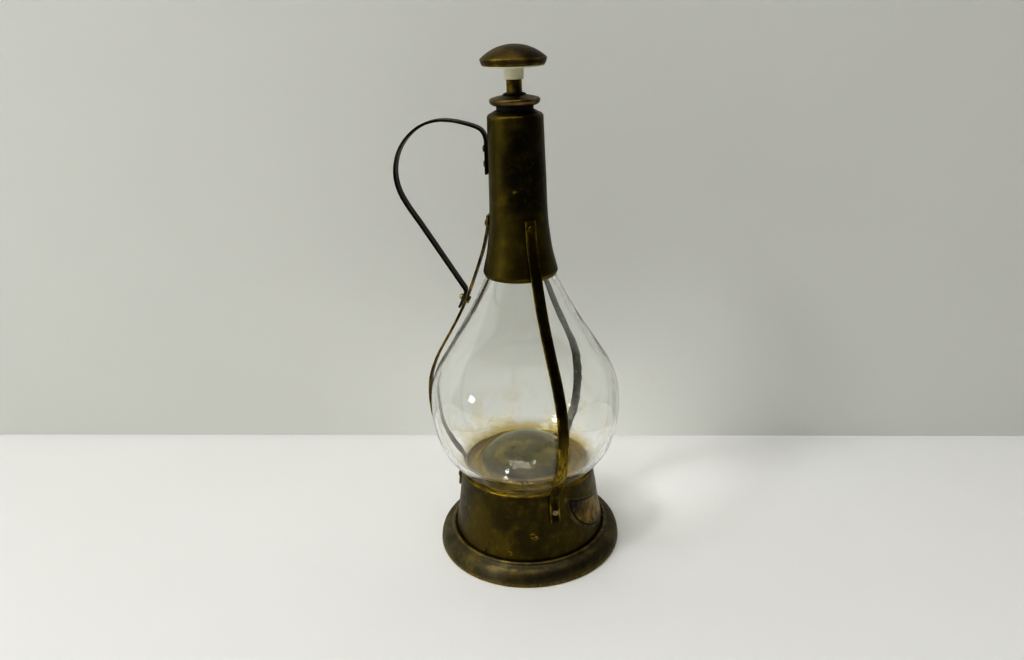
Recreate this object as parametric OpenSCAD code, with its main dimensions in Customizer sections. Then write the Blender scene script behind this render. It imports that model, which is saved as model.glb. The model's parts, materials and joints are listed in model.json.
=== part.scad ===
// Lantern-style decanter: a blown glass flask held in a brass base, neck sleeve and three
// straps, with a side handle, a lift-out stopper and a small musical movement in its base.
// +Z is up, the origin is the centre of the face it stands on, and the handle points to -X.

/* [Base] */
// Radius of the flared foot at the table
foot_r = 57.5; // [56.5:0.1:58.5]
// Height at which the foot meets its bead
foot_h = 10; // [9.5:0.1:10.4]
// Radius of the skirt where it meets the foot
skirt_bottom_r = 47.3; // [47:0.1:47.5]
// Radius of the skirt at its top rim
skirt_top_r = 41.4; // [41.3:0.1:41.7]
// Height of the top rim of the skirt
skirt_top_z = 52.7; // [52.5:0.1:53]
// How far the skirt's wall bows in between its ends
skirt_waist = 0.6; // [0.3:0.1:0.7]
// Thickness of the spun brass sheet
sheet_t = 1; // [0.8:0.1:1.1]

/* [Neck sleeve] */
// Radius of the sleeve just under its shoulder
sleeve_r = 15.4; // [15.3:0.1:15.6]
// Height of the top of the sleeve
sleeve_top_z = 269.2; // [269:0.1:269.6]
// Radius of the opening in the top of the sleeve
sleeve_mouth_r = 10.8; // [10.7:0.1:11]

/* [Flask] */
// Radius of the bulb at its widest
bulb_r = 57.4; // [57:0.1:57.5]
// Wall thickness of the glass
glass_t = 2.8; // [2.5:0.1:3]
// Radius of the bore of the neck
neck_bore_r = 10.4; // [10.38:0.01:10.5]
// Height of the top of the hollow dome in the flask's bottom
punt_top_z = 69; // [66:1:70]

/* [Straps and handle] */
// Width of the brass strip
strip_w = 6.35; // [6:0.05:6.5]
// Thickness of the brass strip
strip_t = 1.4; // [1.3:0.05:1.45]
// How much further out the strap under the handle bows
handle_strap_bow = 1.3; // [1.1:0.1:1.5]
// Radius of a rivet's head
rivet_head_r = 1.9; // [1.8:0.05:2]

/* [Stopper] */
// Radius of the rubber plug
plug_r = 10.1; // [10:0.02:10.12]
// Radius of the flange above the plug
flange_r = 13.8; // [13.6:0.1:14]
// Radius of the knob at its crease
knob_r = 18; // [17.8:0.1:18.2]
// Height of the top of the knob
knob_top_z = 302.9; // [302.5:0.1:303.2]

/* [Musical movement] */
// Teeth on the crown wheel of the spring drum
crown_teeth = 24; // [24:8:24]
// Teeth on the cylinder's pinion
pinion_teeth = 8; // [8:8:8]
// Number of tuned teeth on the comb
comb_teeth = 18; // [14:1:18]

/* [Hidden] */
$fn = 96;
strap_azimuths = [-90, 30, 150];
gap = 0.05;
shank_r = 1.1;
hole_r = shank_r + gap;
inner_head_r = 1.7;
inner_head_h = 0.7;
// long enough to cut right through any piece
through = 60;

// The sleeve's outside, from the lip at its foot up to the straight part (radius, height)
sleeve_flare = [[21.5, 180.2], [20.6, 184], [18.9, 191], [17.6, 200], [16.7, 209], [16.2, 222],
                [15.9, 240], [sleeve_r, 262]];

// The flask's outside, from the foot of the bulb up to the neck (radius, height)
bulb_side = [[39.2, 52.6], [44.6, 58.6], [51.3, 67.5], [55.3, 78], [57.1, 88.5], [bulb_r, 98.5],
             [56.4, 108.7], [52.9, 118.7], [47.2, 128.7], [41, 138.7], [34.8, 148.7],
             [29.2, 158.7], [24.1, 168.7], [19.6, 178.7], [16.4, 188.7], [14.2, 199], [13.4, 212]];

// The inner face of a strap between its two flat ends (radius, height)
strap_bend = [[17.7, 202], [19.2, 194.5], [21.5, 186.7], [26.1, 173.7], [30.8, 161.7],
              [37.2, 148.7], [44.6, 135.7], [51.4, 123.7], [56.3, 110.7], [57.8, 98],
              [57.4, 87], [55.1, 76], [50.9, 66.2], [46.2, 58.8], [42.9, 53.8]];
strap_top = [16.75, 212];
strap_foot_bend = [41.9, 50.8];
strap_foot_end = [43.6, 34.6];

// The handle's centre line from the end of its upper tab to the bend into its lower tab
handle_bend = [[16.7, 251], [16.75, 254.5], [18.1, 258.2], [21.2, 260.6], [27, 262.5],
               [35, 264.3], [44, 264.6], [53.6, 261.7], [62.2, 254.9], [67.8, 246],
               [69.9, 236], [68.7, 226.8], [64.9, 218.4], [58, 207.6]];
handle_tab_foot = [17.05, 235];
handle_leg_end = [34.2, 169.1];

top_rivet_z = 207.4;
foot_rivet_z = 41.2;
handle_rivet_zs = [240.7, 249];
handle_low_rivet_z = 161;
handle_tab_r = 16.8;
handle_tab_tip = 0.6;
pan_screw_azimuths = [-26.7, 93.3, 213.3];
pan_screw_z = 13.4;
pan_floor_z = 8.6;

stopper_seat_z = 271.9;
stem_r = 4.15;
collar_foot_z = 285.2;
knob_rim_z = 292.4;
knob_crease_z = 295.7;
rod_r = 1.6;

frame_z = pan_floor_z + 1 + gap;
frame_t = 2.4;
drum_x = -13;
drum_r = 12;
drum_z = 12.6;
drum_h = 9.6;
crown_h = 1.4;
crown_mean_r = 10.75;
tooth_t = 0.85;
pinion_pitch_r = crown_mean_r * pinion_teeth / crown_teeth;
cylinder_z = drum_z + drum_h + 0.8 + pinion_pitch_r;
cylinder_r = 6.2;
cylinder_x0 = 1.2;
cylinder_x1 = 26;
cylinder_arbor_r = 0.9;
comb_y = -10.5;
arbor_r = 1.6;
key_z = 2;
key_h = 5.2;
stop_pin_y = 30;
stop_pin_r = 1.4;
stop_disc_z = 18.4;
stop_arm_w = 3;
stop_arm_l = 22;
machine_screw_r = 1;
screw_hole_r = machine_screw_r + gap;
slot_w = 0.5;

// ---- Curves ----

// One stretch of a smooth curve through b and c, with a and d as its neighbours
function curve_point(a, b, c, d, t) =
    0.5 * (2 * b + (c - a) * t + (2 * a - 5 * b + 4 * c - d) * t * t
           + (3 * b - a - 3 * c + d) * t * t * t);

// A smooth curve through all the points, with the given number of steps between two points
function smooth(points, steps) =
    let (last = len(points) - 1)
    concat([for (i = [0 : last - 1], k = [0 : steps - 1])
                curve_point(points[max(i - 1, 0)], points[i], points[i + 1],
                            points[min(i + 2, last)], k / steps)],
           [points[last]]);

function unit(v) = v / norm(v);

// The direction to the left of a path at its point i
function left_of(path, i) =
    let (d = unit(path[min(i + 1, len(path) - 1)] - path[max(i - 1, 0)]))
    [-d[1], d[0]];

// The path moved sideways by a distance, to its left where the distance is positive
function beside(path, distance) =
    [for (i = [0 : len(path) - 1]) path[i] + distance * left_of(path, i)];

function reversed(list) = [for (i = [len(list) - 1 : -1 : 0]) list[i]];

// An arc of points about a centre
function arc(centre, radius, from, to, steps) =
    [for (k = [0 : steps]) let (a = from + (to - from) * k / steps)
        centre + radius * [cos(a), sin(a)]];

// Outside radius of the skirt at a height
function skirt_r(z) =
    let (u = (skirt_top_z - z) / (skirt_top_z - foot_h))
    skirt_top_r + (skirt_bottom_r - skirt_top_r) * u - skirt_waist * 4 * u * (1 - u);

// ---- Placing ----

// A (radius, height) outline made into a plate that stands in the plane of one azimuth
module radial_plate(azimuth, width) {
    rotate([0, 0, azimuth - 90])
        rotate([90, 0, 0])
            linear_extrude(width, center = true)
                children();
}

// Turns +Z to point outwards from a (radius, height) point, tipped up by an angle
module outward(azimuth, radius, height, tip) {
    rotate([0, 0, azimuth - 90])
        translate([radius, 0, height])
            rotate([0, 90 - tip, 0])
                children();
}

module strip(path, thickness) {
    polygon(concat(path, reversed(beside(path, thickness))));
}

// ---- Rivet seats: the strap's or handle's face at each rivet ----

top_tip = atan((strap_bend[0][0] - strap_top[0]) / (strap_top[1] - strap_bend[0][1]));
top_rivet_r = strap_top[0] + (strap_top[1] - top_rivet_z) * tan(top_tip);
foot_tip = atan((strap_foot_end[0] - strap_foot_bend[0]) / (strap_foot_bend[1] - strap_foot_end[1]));
foot_rivet_r = strap_foot_bend[0] + (strap_foot_bend[1] - foot_rivet_z) * tan(foot_tip);
low_tip = 24.5;
low_rivet_r = 32.7;

module top_rivet_places() {
    for (azimuth = strap_azimuths)
        outward(azimuth, top_rivet_r, top_rivet_z, top_tip)
            children();
}

module foot_rivet_places() {
    for (azimuth = strap_azimuths)
        outward(azimuth, foot_rivet_r, foot_rivet_z, foot_tip)
            children();
}

module handle_rivet_places() {
    for (z = handle_rivet_zs)
        outward(strap_azimuths[0], handle_tab_r, z, handle_tab_tip)
            children();
}

module low_rivet_place() {
    outward(strap_azimuths[0], low_rivet_r, handle_low_rivet_z, low_tip)
        children();
}

module pan_screw_places() {
    for (azimuth = pan_screw_azimuths)
        outward(azimuth, skirt_r(pan_screw_z), pan_screw_z, 4)
            children();
}

module rivet_hole() {
    cylinder(h = through / 4, r = hole_r, center = true);
}

// A rivet: a shank, an outer head on the face at height head_z and an inner head at tail_z
module rivet(head_z, tail_z, dimple) {
    translate([0, 0, tail_z - 0.5])
        cylinder(h = head_z - tail_z + 1, r = shank_r);
    translate([0, 0, tail_z - inner_head_h])
        cylinder(h = inner_head_h, r = inner_head_r);
    translate([0, 0, head_z])
        rivet_head(dimple);
}

// A low round head, with a turned ring in it where it is dimpled
module rivet_head(dimple) {
    difference() {
        rotate_extrude()
            polygon(concat([[0, 0]], [[rivet_head_r, 0]], [[rivet_head_r, 0.3]],
                           arc([rivet_head_r - 0.6, 0.3], 0.6, 15, 75, 4), [[0, 1.05]]));
        if (dimple)
            translate([0, 0, 0.6])
                difference() {
                    cylinder(h = 1, r = 1.15);
                    translate([0, 0, -1])
                        cylinder(h = 2, r = 0.6);
                }
    }
}

// ---- Flask ----

module glass_flask() {
    outside = smooth(bulb_side, 3);
    inside = beside(outside, glass_t);
    lip_z = 266.4;
    lip_r = 13.4;
    stand_r = 31;
    stand_z = 45.6;
    punt_r = 27;
    color([0.82, 0.86, 0.8, 0.35])
        rotate_extrude()
            polygon(concat(
                // underside of the dome, from its top out to the ring that the flask stands on
                [for (k = [0 : 8]) let (a = 90 - 76 * k / 8)
                    [punt_r * cos(a), stand_z + 2 + (punt_top_z - glass_t - stand_z - 2) * sin(a)]],
                arc([stand_r - 1, stand_z + 1.6], 1.6, -150, -40, 4),
                outside,
                [[lip_r, lip_z - 1]],
                arc([lip_r - 1, lip_z - 1], 1, 0, 90, 4),
                arc([neck_bore_r + 0.8, lip_z - 0.8], 0.8, 90, 180, 4),
                [[neck_bore_r, 206]],
                reversed([for (p = inside) if (p[1] < 200 && p[1] > 57) [max(p[0], neck_bore_r), p[1]]]),
                arc([34, 58.4], 4.6, -30, -120, 5),
                reversed([for (k = [0 : 8]) let (a = 90 - 72 * k / 8)
                    [(punt_r + glass_t) * cos(a), stand_z + 7 + (punt_top_z - stand_z - 7) * sin(a)]])
            ));
}

// ---- Neck sleeve ----

module neck_sleeve() {
    flare = smooth(sleeve_flare, 4);
    shoulder = concat(arc([sleeve_r - 2.2, sleeve_top_z - 3.6], 2.2, 8, 75, 6),
                      [[sleeve_mouth_r + 0.3, sleeve_top_z]]);
    outside = concat([[20.8, 177.7]], arc([20.5, 179.6], 1, -60, 0, 3), flare, shoulder);
    color([0.42, 0.36, 0.2])
        difference() {
            rotate_extrude()
                polygon(concat(outside,
                    [[sleeve_mouth_r, sleeve_top_z - 0.4], [sleeve_mouth_r, sleeve_top_z - sheet_t],
                     [sleeve_r - 2.2, sleeve_top_z - 1.6 - sheet_t],
                     [sleeve_r - sheet_t, sleeve_top_z - 4]],
                    reversed([for (p = beside(flare, sheet_t)) if (p[1] < 261) p]),
                    [[20.4, 178.2]]));
            top_rivet_places()
                rivet_hole();
            handle_rivet_places()
                rivet_hole();
        }
}

// ---- Base ----

module base_skirt() {
    wall = [for (k = [0 : 12]) let (z = foot_h - 0.3 + (skirt_top_z - 0.8 - foot_h + 0.3) * k / 12)
        [skirt_r(z), z]];
    color([0.36, 0.31, 0.17])
        difference() {
            rotate_extrude()
                polygon(concat(wall,
                    arc([skirt_top_r - 0.55, skirt_top_z - 0.75], 0.75, 0, 180, 6),
                    reversed([for (p = wall) if (p[1] < skirt_top_z - 1.5) p - [sheet_t, 0]])));
            foot_rivet_places()
                rivet_hole();
            pan_screw_places()
                cylinder(h = 8, r = 0.85, center = true);
        }
}

module foot_ring() {
    throat_r = 46.6;
    seat_r = skirt_r(foot_h) + 0.1;
    groove_r = 50.2;
    flare_w = foot_r - groove_r;
    flare_foot_z = 1.8;
    color([0.42, 0.37, 0.22])
        rotate_extrude()
            polygon(concat(
                [[throat_r, foot_h - 1.4], [seat_r, foot_h - 1.4], [seat_r, foot_h + 1]],
                // the bead, then the groove below it
                arc([skirt_r(foot_h) + 1.5, foot_h + 0.3], 1.4, 150, 15, 8),
                // the flare, down to the rolled lip that it stands on
                [for (k = [1 : 12]) let (a = 90 - 90 * k / 12)
                    [groove_r + (flare_w - 0.2) * cos(a),
                     flare_foot_z + (foot_h - flare_foot_z) * sin(a)]],
                arc([foot_r - 0.8, 0.8], 0.8, 40, -90, 6),
                [[foot_r - 2.6, 0], [foot_r - 2.6, 1.2]],
                reversed([for (k = [1 : 12]) let (a = 90 - 84 * k / 12)
                    [groove_r + (flare_w - 1.4) * cos(a), 1.4 + (foot_h - 2.6) * sin(a)]]),
                [[49.4, foot_h - 1.6 - sheet_t], [throat_r, foot_h - 1.6 - sheet_t]]));
}

module flask_seat_ring() {
    slack = 0.35;
    bore_r = 33;
    foot_z = 43.6;
    shoulder_z = 50;
    color([0.45, 0.38, 0.16])
        rotate_extrude()
            polygon([[bore_r, foot_z], [skirt_r(foot_z) - sheet_t - slack, foot_z],
                     [skirt_r(shoulder_z) - sheet_t - slack, shoulder_z], [38.5, 51.6],
                     [bore_r, 46.8]]);
}

module foil_label() {
    half_w = 32;
    horn_z = 48;
    top_z = 38;
    side_z = 33;
    bottom_z = 15.2;
    azimuth = 90;
    shell_z = [14, 50];
    steps = 20;
    heights = [for (k = [0 : steps]) shell_z[0] + (shell_z[1] - shell_z[0]) * k / steps];
    color([0.5, 0.4, 0.16])
        intersection() {
            rotate_extrude()
                polygon(concat([for (z = heights) [skirt_r(z) + 0.3, z]],
                               [for (z = reversed(heights)) [skirt_r(z) + 0.03, z]]));
            // a wide shield: two peaked corners, a hollow top edge and a rounded point below
            rotate([0, 0, azimuth - 90])
                rotate([90, 0, 90])
                    linear_extrude(60)
                        polygon(concat(
                            smooth([[-half_w, horn_z], [-half_w * 0.72, 43.4], [-half_w * 0.36, 39.5],
                                    [0, top_z], [half_w * 0.36, 39.5], [half_w * 0.72, 43.4],
                                    [half_w, horn_z]], 4),
                            smooth([[half_w + 0.3, horn_z - 3], [half_w - 0.9, side_z],
                                    [half_w * 0.8, 23.6], [half_w * 0.5, 17.4], [0, bottom_z],
                                    [-half_w * 0.5, 17.4], [-half_w * 0.8, 23.6],
                                    [0.9 - half_w, side_z], [-half_w - 0.3, horn_z - 3]], 4)));
        }
}

// ---- Straps and handle ----

// How far a strap with a bow stands off at a height
function bow_at(z, bow) =
    let (top = strap_bend[0][1], u = (top - z) / (top - 56))
    (u <= 0 || u >= 1) ? 0 : bow * sqrt(sin(180 * u));

function strap_path(bow) =
    concat([strap_top],
           [for (p = smooth(strap_bend, 4)) [p[0] + bow_at(p[1], bow), p[1]]],
           [strap_foot_bend, strap_foot_end]);

module strap(azimuth, bow) {
    difference() {
        radial_plate(azimuth, strip_w)
            strip(strap_path(bow), strip_t);
        outward(azimuth, top_rivet_r, top_rivet_z, top_tip)
            rivet_hole();
        outward(azimuth, foot_rivet_r, foot_rivet_z, foot_tip)
            rivet_hole();
        low_rivet_place()
            rivet_hole();
    }
}

module handle_strap() {
    color([0.3, 0.25, 0.12])
        strap(strap_azimuths[0], handle_strap_bow);
}

module front_strap() {
    color([0.3, 0.25, 0.12])
        strap(strap_azimuths[1], 0);
}

module rear_strap() {
    color([0.3, 0.25, 0.12])
        strap(strap_azimuths[2], 0);
}

module strap_top_rivets() {
    color([0.4, 0.34, 0.2])
        top_rivet_places()
            rivet(strip_t, -1.6, true);
}

module strap_foot_rivets() {
    color([0.55, 0.5, 0.38])
        foot_rivet_places()
            rivet(strip_t, -1.5, false);
}

module carry_handle() {
    low_dir = [sin(low_tip), -cos(low_tip)];
    low_face = [low_rivet_r, handle_low_rivet_z] + (1.5 * strip_t + 0.12) * [cos(low_tip), sin(low_tip)];
    centre = concat([handle_tab_foot], smooth(handle_bend, 5), [handle_leg_end],
                    [low_face - 5.4 * low_dir, low_face + 6.2 * low_dir]);
    color([0.22, 0.19, 0.1])
        difference() {
            radial_plate(strap_azimuths[0], strip_w)
                strip(beside(centre, -strip_t / 2), strip_t);
            handle_rivet_places()
                rivet_hole();
            low_rivet_place()
                rivet_hole();
        }
}

module handle_top_rivets() {
    color([0.4, 0.34, 0.2])
        handle_rivet_places()
            rivet(0.9, -2.45, false);
}

module handle_low_rivet() {
    color([0.5, 0.43, 0.24])
        low_rivet_place() {
            translate([0, 0, -1.5])
                cylinder(h = 2 * strip_t + 1.9, r = shank_r);
            translate([0, 0, -1.7])
                cylinder(h = 1.25, r = 2.2);
            // a round head
            translate([0, 0, 2 * strip_t + 0.2])
                rotate_extrude()
                    polygon(concat([[0, 0]], arc([0, 0], 2, 0, 90, 8)));
        }
}

// ---- Bottom pan ----

module bottom_pan() {
    rim_top_z = pan_floor_z + 7.6;
    outer_r = 45.3;
    color([0.4, 0.36, 0.24])
        difference() {
            rotate_extrude()
                polygon([[0, pan_floor_z], [outer_r, pan_floor_z],
                         [outer_r - 0.5, rim_top_z], [outer_r - 1.4, rim_top_z],
                         [outer_r - 1.4, pan_floor_z + 1], [0, pan_floor_z + 1]]);
            translate([drum_x, 0, 0])
                cylinder(h = through, r = arbor_r + 0.8, center = true);
            translate([0, stop_pin_y, 0])
                cylinder(h = through, r = stop_pin_r + 0.3, center = true);
            frame_screw_places()
                cylinder(h = through, r = screw_hole_r, center = true);
            pan_screw_places()
                cylinder(h = 8, r = 0.75, center = true);
        }
}

module pan_screws() {
    color([0.12, 0.11, 0.1])
        pan_screw_places() {
            translate([0, 0, -3.6])
                cylinder(h = 3.9, r = 0.7);
            difference() {
                rotate_extrude()
                    polygon(concat([[0, 0.2]], arc([0, 0.2], 1.25, 0, 90, 6)));
                translate([-2, -0.2, 0.95])
                    cube([4, 0.4, 1]);
            }
        }
}

// ---- Musical movement ----

module frame_screw_places() {
    for (x = [-20, 24], y = [-15, 15])
        translate([x, y, 0])
            children();
}

module movement_frame() {
    plate_x0 = -29;
    plate_l = 60;
    plate_w = 37;
    bearing_t = 2.4;
    bearing_w = 6.4;
    arch_t = 1.4;
    arch_x = cylinder_x0 - arch_t - 0.2;
    color([0.6, 0.6, 0.58])
        difference() {
            union() {
                translate([plate_x0, -plate_w / 2, frame_z])
                    cube([plate_l, plate_w, frame_t]);
                // the outer bearing of the cylinder
                translate([cylinder_x1 + 0.6, -bearing_w / 2, frame_z])
                    cube([bearing_t, bearing_w, cylinder_z - frame_z + 2.4]);
                // the step that the comb is screwed on
                translate([cylinder_x0, -plate_w / 2, frame_z])
                    cube([cylinder_x1 - cylinder_x0, 6, cylinder_z - frame_z - 1.3]);
                // the arch over the drum that holds the cylinder's inner end
                translate([arch_x, 6.8, frame_z])
                    cube([arch_t, 3, cylinder_z - frame_z + 2]);
                translate([arch_x, -bearing_w / 2, cylinder_z - 2])
                    cube([arch_t, 13, 4]);
            }
            translate([drum_x, 0, 0])
                cylinder(h = through, r = arbor_r + gap, center = true);
            translate([cylinder_x0 - 4, 0, cylinder_z])
                rotate([0, 90, 0])
                    cylinder(h = 40, r = cylinder_arbor_r + gap);
            frame_screw_places()
                cylinder(h = through, r = screw_hole_r, center = true);
            comb_screw_places()
                cylinder(h = 12, r = 0.85, center = true);
        }
}

module frame_screws() {
    color([0.5, 0.48, 0.44])
        frame_screw_places() {
            translate([0, 0, pan_floor_z - 0.2])
                cylinder(h = 5, r = machine_screw_r);
            translate([0, 0, pan_floor_z - 1.2])
                difference() {
                    cylinder(h = 1.15, r = 1.9);
                    translate([-3, -slot_w / 2, -0.5])
                        cube([6, slot_w, 1]);
                }
        }
}

module comb_screw_places() {
    for (x = [cylinder_x0 + 5, cylinder_x1 - 5])
        translate([x, -16, cylinder_z - 1.3])
            children();
}

module tuned_comb() {
    pitch = (cylinder_x1 - cylinder_x0 - 3) / comb_teeth;
    color([0.66, 0.66, 0.66])
        translate([0, 0, cylinder_z - 1.25])
            difference() {
                translate([cylinder_x0 + 1, -18.4, 0])
                    cube([cylinder_x1 - cylinder_x0 - 2, 18.4 - cylinder_r - 0.9, 1]);
                for (i = [1 : comb_teeth - 1])
                    translate([cylinder_x0 + 1.5 + i * pitch - 0.15, comb_y - 2.2 + i * 0.12, -1])
                        cube([0.3, 12, 3]);
                comb_screw_places()
                    translate([0, 0, -cylinder_z])
                        cylinder(h = through, r = screw_hole_r, center = true);
            }
}

module comb_screws() {
    color([0.5, 0.48, 0.44])
        comb_screw_places() {
            translate([0, 0, -4])
                cylinder(h = 5.1, r = 0.8);
            translate([0, 0, 1.1])
                difference() {
                    cylinder(h = 1.1, r = 1.8);
                    translate([-3, -slot_w / 2, 0.6])
                        cube([6, slot_w, 1]);
                }
        }
}

module governor_housing() {
    color([0.7, 0.68, 0.6])
        translate([9, 12, frame_z + frame_t + gap])
            difference() {
                cube([12, 5.6, 12]);
                translate([2, 1.2, 2.4])
                    cube([8, 6, 7.2]);
            }
}

module spring_drum() {
    color([0.6, 0.58, 0.5])
        translate([drum_x, 0, drum_z])
            difference() {
                union() {
                    cylinder(h = drum_h, r = drum_r);
                    intersection() {
                        difference() {
                            cylinder(h = drum_h + crown_h, r = crown_mean_r + 1.1);
                            cylinder(h = through, r = crown_mean_r - 1.1, center = true);
                        }
                        for (i = [0 : crown_teeth - 1])
                            rotate([0, 0, (i + 0.5) * 360 / crown_teeth])
                                translate([5, -tooth_t / 2, 1])
                                    cube([10, tooth_t, 12]);
                    }
                }
                cylinder(h = through, r = arbor_r + gap, center = true);
            }
}

module winding_arbor() {
    color([0.62, 0.62, 0.6])
        translate([drum_x, 0, 0]) {
            translate([0, 0, key_z + 1])
                cylinder(h = drum_z + drum_h + 1.6 - key_z - 1, r = arbor_r);
            translate([0, 0, drum_z + drum_h + 0.3])
                cylinder(h = 1.3, r = 3.4);
        }
}

module winding_key() {
    hub_r = 3;
    wing_w = 23;
    color([0.66, 0.6, 0.42])
        translate([drum_x, 0, key_z])
            difference() {
                union() {
                    cylinder(h = key_h, r = hub_r);
                    translate([-wing_w / 2 + 2.6, -0.8, 0])
                        cube([wing_w - 5.2, 1.6, key_h]);
                    for (side = [-1, 1])
                        translate([side * (wing_w / 2 - 2.6), 0.8, 2.6])
                            rotate([90, 0, 0])
                                cylinder(h = 1.6, r = 2.6);
                }
                translate([0, 0, 1])
                    cylinder(h = 10, r = arbor_r);
            }
}

module pinned_cylinder() {
    pin_turn = 137.5;
    pitch = (cylinder_x1 - cylinder_x0 - 3) / comb_teeth;
    color([0.72, 0.62, 0.36])
        translate([0, 0, cylinder_z])
            rotate([0, 90, 0]) {
                translate([0, 0, cylinder_x0 + 0.4])
                    cylinder(h = cylinder_x1 - cylinder_x0 - 0.6, r = cylinder_r);
                translate([0, 0, cylinder_x0 - 4])
                    cylinder(h = cylinder_x1 - cylinder_x0 + 6.6, r = cylinder_arbor_r);
                // the pinion that the crown wheel drives
                translate([0, 0, drum_x + crown_mean_r - 1]) {
                    cylinder(h = 1.9, r = pinion_pitch_r - 0.9);
                    for (i = [0 : pinion_teeth - 1])
                        rotate([0, 0, i * 360 / pinion_teeth])
                            translate([0, -tooth_t / 2, 0])
                                cube([pinion_pitch_r + 0.5, tooth_t, 1.9]);
                }
                // the pins, one turn of them for each tuned tooth
                for (i = [0 : comb_teeth - 1])
                    translate([0, 0, cylinder_x0 + 1.5 + (i + 0.5) * pitch])
                        rotate([0, 90, i * pin_turn])
                            cylinder(h = cylinder_r + 0.5, r = 0.25);
            }
}

module stop_pin() {
    color([0.7, 0.7, 0.7])
        translate([0, stop_pin_y, 0]) {
            translate([0, 0, 0.4])
                cylinder(h = stop_disc_z + 0.6, r = stop_pin_r);
            translate([0, 0, stop_disc_z])
                cylinder(h = 1, r = 3);
            // the arm that stops the governor
            rotate([0, 0, -34])
                translate([0, -stop_arm_w / 2, stop_disc_z])
                    cube([stop_arm_l, stop_arm_w, 1]);
        }
}

// ---- Stopper ----

module stopper_plug() {
    foot_z = 246;
    rib_h = 3.2;
    color([0.05, 0.05, 0.05])
        difference() {
            rotate_extrude()
                polygon(concat(
                    [[0, foot_z], [plug_r - 2.2, foot_z], [plug_r - 1.2, foot_z + 1]],
                    // three sealing ribs, each a shallow saw-tooth
                    [for (i = [0 : 2], e = [[-1.3, 0.6], [-0.05, rib_h - 0.6], [-0.05, rib_h]])
                        [plug_r + e[0], foot_z + 3 + i * (rib_h + 1.4) + e[1]]],
                    [[plug_r - 0.6, foot_z + 18], [plug_r - 0.6, stopper_seat_z - 5],
                     [plug_r, stopper_seat_z - 3.6], [plug_r, stopper_seat_z], [0, stopper_seat_z]]));
            cylinder(h = knob_top_z, r = rod_r + gap);
        }
}

module stopper_flange() {
    color([0.5, 0.4, 0.2])
        rotate_extrude()
            polygon(concat(
                [[rod_r + gap, stopper_seat_z + gap], [flange_r - 2.7, stopper_seat_z + gap]],
                // the curled-under edge
                arc([flange_r - 2.5, stopper_seat_z + 2.55], 2.5, -75, 0, 6),
                arc([flange_r - 1.2, stopper_seat_z + 2.6], 1.2, 10, 75, 4),
                [[10.2, stopper_seat_z + 4.5], [6.6, stopper_seat_z + 5.3],
                 [rod_r + gap, stopper_seat_z + 5.5]]));
}

module stem_washer() {
    color([0.05, 0.05, 0.05])
        rotate_extrude()
            polygon([[rod_r + gap, stopper_seat_z + 5.6], [6.2, stopper_seat_z + 5.45],
                     [6.3, stopper_seat_z + 5.8], [stem_r + 0.3, stopper_seat_z + 6.6],
                     [stem_r + 0.3, stopper_seat_z + 6.2], [rod_r + gap, stopper_seat_z + 6.2]]);
}

module stem_tube() {
    foot_z = stopper_seat_z + 6.25;
    color([0.4, 0.34, 0.18])
        difference() {
            translate([0, 0, foot_z])
                cylinder(h = collar_foot_z + 2 - foot_z, r = stem_r);
            cylinder(h = knob_top_z, r = stem_r - 0.7);
        }
}

module stem_rod() {
    foot_z = 243.4;
    color([0.6, 0.6, 0.58])
        translate([0, 0, foot_z]) {
            cylinder(h = knob_rim_z + 3 - foot_z, r = rod_r);
            // the nut that clamps the plug
            cylinder(h = 2.5, r = 4.2);
        }
}

module knob_core() {
    color([0.86, 0.85, 0.76])
        difference() {
            rotate_extrude()
                polygon([[0, collar_foot_z], [5.2, collar_foot_z], [5.45, knob_rim_z - 1.5],
                         [16.2, knob_rim_z - 0.9], [16.6, knob_rim_z - 0.5],
                         [16.6, knob_rim_z - gap], [16, knob_rim_z - gap],
                         [15.8, knob_rim_z + 2.2], [0, knob_rim_z + 6.4]]);
            cylinder(h = collar_foot_z + 2.1, r = stem_r + gap);
            cylinder(h = knob_rim_z + 3.1, r = rod_r + gap);
        }
}

module knob_cap() {
    dome_h = knob_top_z - knob_crease_z;
    dome_r = (knob_r * knob_r + dome_h * dome_h) / (2 * dome_h);
    half_angle = asin(knob_r / dome_r);
    shell = 0.8;
    color([0.38, 0.31, 0.17])
        rotate_extrude()
            polygon(concat(
                // the rim band, tapering down and in from the crease
                [[knob_r - 1.75, knob_rim_z], [knob_r - 1.05, knob_rim_z + 0.25],
                 [knob_r - 0.35, knob_crease_z - 1], [knob_r - 0.3, knob_crease_z - 0.55]],
                // the dome
                [for (k = [0 : 16]) let (a = half_angle * (1 - k / 16))
                    [dome_r * sin(a), knob_top_z - dome_r + dome_r * cos(a)]],
                [for (k = [0 : 10]) let (a = half_angle * 0.93 * k / 10)
                    [(dome_r - shell) * sin(a), knob_top_z - dome_r + (dome_r - shell) * cos(a)]],
                [[knob_r - 1.3, knob_crease_z - 1]]));
}

glass_flask();
neck_sleeve();
base_skirt();
foot_ring();
handle_strap();
front_strap();
rear_strap();
strap_top_rivets();
strap_foot_rivets();
carry_handle();
handle_top_rivets();
handle_low_rivet();
flask_seat_ring();
foil_label();
bottom_pan();
pan_screws();
movement_frame();
frame_screws();
tuned_comb();
comb_screws();
governor_housing();
spring_drum();
winding_arbor();
winding_key();
pinned_cylinder();
stop_pin();
stopper_plug();
stopper_flange();
stem_washer();
stem_tube();
stem_rod();
knob_core();
knob_cap();
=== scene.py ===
"""The looks of a lantern-style glass decanter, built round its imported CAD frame.

Turned parts are spun again from the outlines of the frame's own nodes, and bent strips are swept
again along the frame's own paths. Rivets keep the frame's shape with their edges rounded. The
movement, the pan, their screws and the stopper's rod keep the frame's own meshes. Lengths are in
millimetres and become Blender's metres where a mesh is made; only the lights are in metres.
"""

import json
import math

import bmesh
import bpy
from mathutils import Matrix, Vector, noise


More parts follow.
